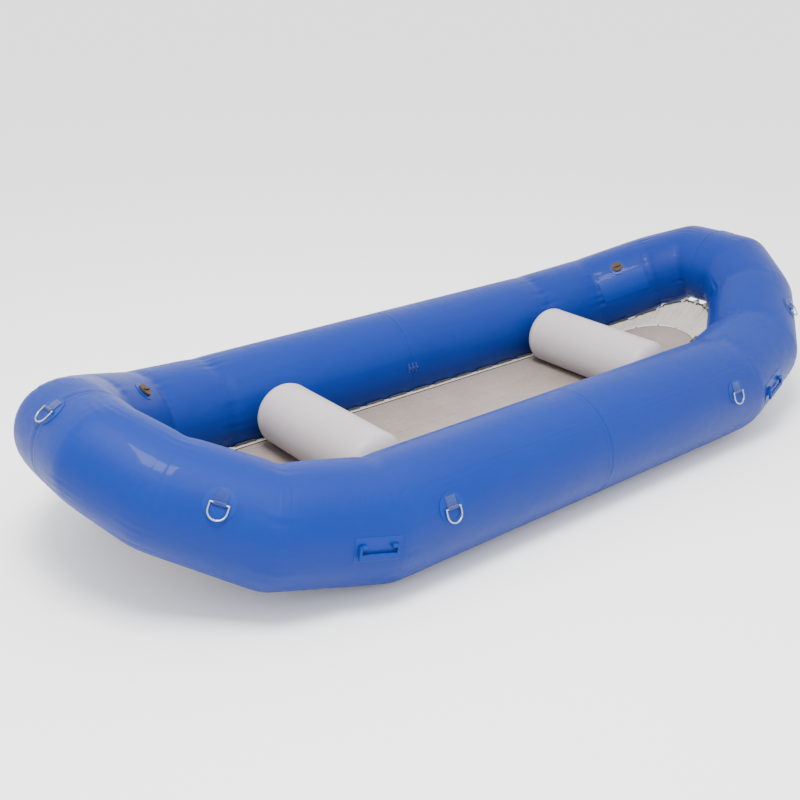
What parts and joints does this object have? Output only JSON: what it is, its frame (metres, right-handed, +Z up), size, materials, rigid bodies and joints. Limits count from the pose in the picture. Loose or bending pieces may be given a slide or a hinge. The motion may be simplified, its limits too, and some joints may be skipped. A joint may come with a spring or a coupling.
{
  "type": "inflatable raft",
  "caption": "Self-bailing inflatable raft with blue side tubes, upturned ends, laced-in inflated floor, cylindrical thwarts, valves, D-rings and carry handles.",
  "frame": {"origin": "on the ground, under the middle of the hull: the centre of the bottom of its box", "axes": "+X to the bow, +Y to port, +Z up"},
  "size_m": [4.3793, 1.9324, 0.7977],
  "materials": {
    "tube_skin": "satin coated fabric",
    "floor_skin": "satin coated fabric, slightly wrinkled",
    "thwart_skin": "satin coated fabric",
    "flap_fabric": "pleated coated fabric",
    "rope": "braided polyester",
    "webbing": "flat woven webbing",
    "patch_skin": "satin coated fabric",
    "valve_black": "moulded nylon",
    "valve_brown": "moulded nylon, bronze brown",
    "valve_white": "moulded acetal",
    "steel": "polished stainless wire",
    "pin": "pultruded glass fibre rod",
    "grip": "moulded rubber"
  },
  "bodies": {
    "hull": {"tube_bow_port": "tube_skin", "tube_bow_starboard": "tube_skin", "tube_stern_port": "tube_skin", "tube_stern_starboard": "tube_skin", "bulkheads": "tube_skin", "floor_shell": "floor_skin", "floor_i_beams": "floor_skin", "lacing_flap": "flap_fabric", "lacing_rope": "rope", "thwart_bow": "thwart_skin", "thwart_stern": "thwart_skin", "thwart_loops": "webbing", "thwart_loops_mid": "webbing", "thwart_tabs": "thwart_skin", "thwart_pins": "pin", "chafe_patch": "patch_skin", "valve_patches": "patch_skin", "valve_bodies": "valve_black", "valve_clamp_rings": "valve_black", "valve_springs": "steel", "d_ring_patches": "patch_skin", "d_ring_webbing": "webbing", "handle_patches": "patch_skin"},
    "valve_cap_bow_port": {"valve_cap_bow_port": "valve_brown"},
    "valve_plunger_bow_port": {"valve_plunger_bow_port": "valve_white"},
    "valve_cap_bow_starboard": {"valve_cap_bow_starboard": "valve_brown"},
    "valve_plunger_bow_starboard": {"valve_plunger_bow_starboard": "valve_white"},
    "valve_cap_stern_port": {"valve_cap_stern_port": "valve_brown"},
    "valve_plunger_stern_port": {"valve_plunger_stern_port": "valve_white"},
    "valve_cap_stern_starboard": {"valve_cap_stern_starboard": "valve_brown"},
    "valve_plunger_stern_starboard": {"valve_plunger_stern_starboard": "valve_white"},
    "valve_cap_thwart_bow": {"valve_cap_thwart_bow": "valve_brown"},
    "valve_plunger_thwart_bow": {"valve_plunger_thwart_bow": "valve_white"},
    "valve_cap_thwart_stern": {"valve_cap_thwart_stern": "valve_brown"},
    "valve_plunger_thwart_stern": {"valve_plunger_thwart_stern": "valve_white"},
    "valve_cap_floor": {"valve_cap_floor": "valve_brown"},
    "valve_plunger_floor": {"valve_plunger_floor": "valve_white"},
    "d_ring_nose_bow": {"d_ring_nose_bow": "steel"},
    "d_ring_nose_stern": {"d_ring_nose_stern": "steel"},
    "d_ring_quarter_bow_port": {"d_ring_quarter_bow_port": "steel"},
    "d_ring_quarter_bow_starboard": {"d_ring_quarter_bow_starboard": "steel"},
    "d_ring_quarter_stern_port": {"d_ring_quarter_stern_port": "steel"},
    "d_ring_quarter_stern_starboard": {"d_ring_quarter_stern_starboard": "steel"},
    "d_ring_side_bow_port": {"d_ring_side_bow_port": "steel"},
    "d_ring_side_bow_starboard": {"d_ring_side_bow_starboard": "steel"},
    "d_ring_side_stern_port": {"d_ring_side_stern_port": "steel"},
    "d_ring_side_stern_starboard": {"d_ring_side_stern_starboard": "steel"},
    "handle_bow_port": {"handle_bow_port": "grip"},
    "handle_bow_starboard": {"handle_bow_starboard": "grip"},
    "handle_stern_port": {"handle_stern_port": "grip"},
    "handle_stern_starboard": {"handle_stern_starboard": "grip"}
  },
  "joints": [
    {"name": "valve_cap_bow_port_turn", "type": "hinge", "parent": "hull", "child": "valve_cap_bow_port", "pos_m": [1.26723, 0.42405, 0.38407], "axis": [-0.2387, -0.896, 0.3744], "range_deg": [0, 90]},
    {"name": "valve_plunger_bow_port_press", "type": "slide", "parent": "hull", "child": "valve_plunger_bow_port", "axis": [0.2387, 0.896, -0.3744], "range_m": [0, 0.006], "stiffness_N_per_m": 400, "springref_m": -0.004},
    {"name": "valve_cap_bow_starboard_turn", "type": "hinge", "parent": "hull", "child": "valve_cap_bow_starboard", "pos_m": [1.55351, -0.38518, 0.56715], "axis": [-0.6002, 0.4012, 0.6919], "range_deg": [0, 90]},
    {"name": "valve_plunger_bow_starboard_press", "type": "slide", "parent": "hull", "child": "valve_plunger_bow_starboard", "axis": [0.6002, -0.4012, -0.6919], "range_m": [0, 0.006], "stiffness_N_per_m": 400, "springref_m": -0.004},
    {"name": "valve_cap_stern_port_turn", "type": "hinge", "parent": "hull", "child": "valve_cap_stern_port", "pos_m": [-1.26723, 0.42405, 0.38407], "axis": [0.2387, -0.896, 0.3744], "range_deg": [0, 90]},
    {"name": "valve_plunger_stern_port_press", "type": "slide", "parent": "hull", "child": "valve_plunger_stern_port", "axis": [-0.2387, 0.896, -0.3744], "range_m": [0, 0.006], "stiffness_N_per_m": 400, "springref_m": -0.004},
    {"name": "valve_cap_stern_starboard_turn", "type": "hinge", "parent": "hull", "child": "valve_cap_stern_starboard", "pos_m": [-1.55351, -0.38518, 0.56715], "axis": [0.6002, 0.4012, 0.6919], "range_deg": [0, 90]},
    {"name": "valve_plunger_stern_starboard_press", "type": "slide", "parent": "hull", "child": "valve_plunger_stern_starboard", "axis": [-0.6002, -0.4012, -0.6919], "range_m": [0, 0.006], "stiffness_N_per_m": 400, "springref_m": -0.004},
    {"name": "valve_cap_thwart_bow_turn", "type": "hinge", "parent": "hull", "child": "valve_cap_thwart_bow", "pos_m": [0.708, -0.2, 0.277], "axis": [-1, 0, 0], "range_deg": [0, 90]},
    {"name": "valve_plunger_thwart_bow_press", "type": "slide", "parent": "hull", "child": "valve_plunger_thwart_bow", "axis": [1, 0, 0], "range_m": [0, 0.006], "stiffness_N_per_m": 400, "springref_m": -0.004},
    {"name": "valve_cap_thwart_stern_turn", "type": "hinge", "parent": "hull", "child": "valve_cap_thwart_stern", "pos_m": [-1.11, -0.2, 0.277], "axis": [-1, 0, 0], "range_deg": [0, 90]},
    {"name": "valve_plunger_thwart_stern_press", "type": "slide", "parent": "hull", "child": "valve_plunger_thwart_stern", "axis": [1, 0, 0], "range_m": [0, 0.006], "stiffness_N_per_m": 400, "springref_m": -0.004},
    {"name": "valve_cap_floor_turn", "type": "hinge", "parent": "hull", "child": "valve_cap_floor", "pos_m": [0.56, -0.171, 0.122], "axis": [0, 0, 1], "range_deg": [0, 90]},
    {"name": "valve_plunger_floor_press", "type": "slide", "parent": "hull", "child": "valve_plunger_floor", "axis": [0, 0, -1], "range_m": [0, 0.006], "stiffness_N_per_m": 400, "springref_m": -0.004},
    {"name": "d_ring_nose_bow_swing", "type": "hinge", "parent": "hull", "child": "d_ring_nose_bow", "pos_m": [2.10333, 0, 0.76606], "axis": [0, -1, 0], "range_deg": [0, 175]},
    {"name": "d_ring_nose_stern_swing", "type": "hinge", "parent": "hull", "child": "d_ring_nose_stern", "pos_m": [-2.10333, 0, 0.76606], "axis": [0, 1, 0], "range_deg": [0, 175]},
    {"name": "d_ring_quarter_bow_port_swing", "type": "hinge", "parent": "hull", "child": "d_ring_quarter_bow_port", "pos_m": [1.77655, 0.66328, 0.54059], "axis": [0.7325, -0.5847, 0.3487], "range_deg": [0, 175]},
    {"name": "d_ring_quarter_bow_starboard_swing", "type": "hinge", "parent": "hull", "child": "d_ring_quarter_bow_starboard", "pos_m": [1.77655, -0.66328, 0.54059], "axis": [-0.7325, -0.5847, -0.3487], "range_deg": [0, 175]},
    {"name": "d_ring_quarter_stern_port_swing", "type": "hinge", "parent": "hull", "child": "d_ring_quarter_stern_port", "pos_m": [-1.77655, 0.66328, 0.54059], "axis": [0.7325, 0.5847, -0.3487], "range_deg": [0, 175]},
    {"name": "d_ring_quarter_stern_starboard_swing", "type": "hinge", "parent": "hull", "child": "d_ring_quarter_stern_starboard", "pos_m": [-1.77655, -0.66328, 0.54059], "axis": [-0.7325, 0.5847, 0.3487], "range_deg": [0, 175]},
    {"name": "d_ring_side_bow_port_swing", "type": "hinge", "parent": "hull", "child": "d_ring_side_bow_port", "pos_m": [0.925, 0.941, 0.34943], "axis": [1, 0, 0], "range_deg": [0, 175]},
    {"name": "d_ring_side_bow_starboard_swing", "type": "hinge", "parent": "hull", "child": "d_ring_side_bow_starboard", "pos_m": [0.925, -0.941, 0.34943], "axis": [-1, 0, 0], "range_deg": [0, 175]},
    {"name": "d_ring_side_stern_port_swing", "type": "hinge", "parent": "hull", "child": "d_ring_side_stern_port", "pos_m": [-0.925, 0.941, 0.34943], "axis": [1, 0, 0], "range_deg": [0, 175]},
    {"name": "d_ring_side_stern_starboard_swing", "type": "hinge", "parent": "hull", "child": "d_ring_side_stern_starboard", "pos_m": [-0.925, -0.941, 0.34943], "axis": [-1, 0, 0], "range_deg": [0, 175]},
    {"name": "handle_bow_port_swing", "type": "hinge", "parent": "hull", "child": "handle_bow_port", "pos_m": [1.27256, 0.92761, 0.29968], "axis": [0.9541, -0.2521, 0.1618], "range_deg": [0, 150]},
    {"name": "handle_bow_starboard_swing", "type": "hinge", "parent": "hull", "child": "handle_bow_starboard", "pos_m": [1.27256, -0.92761, 0.29968], "axis": [-0.9541, -0.2521, -0.1618], "range_deg": [0, 150]},
    {"name": "handle_stern_port_swing", "type": "hinge", "parent": "hull", "child": "handle_stern_port", "pos_m": [-1.27256, 0.92761, 0.29968], "axis": [0.9541, 0.2521, -0.1618], "range_deg": [0, 150]},
    {"name": "handle_stern_starboard_swing", "type": "hinge", "parent": "hull", "child": "handle_stern_starboard", "pos_m": [-1.27256, -0.92761, 0.29968], "axis": [-0.9541, 0.2521, 0.1618], "range_deg": [0, 150]}
  ]
}
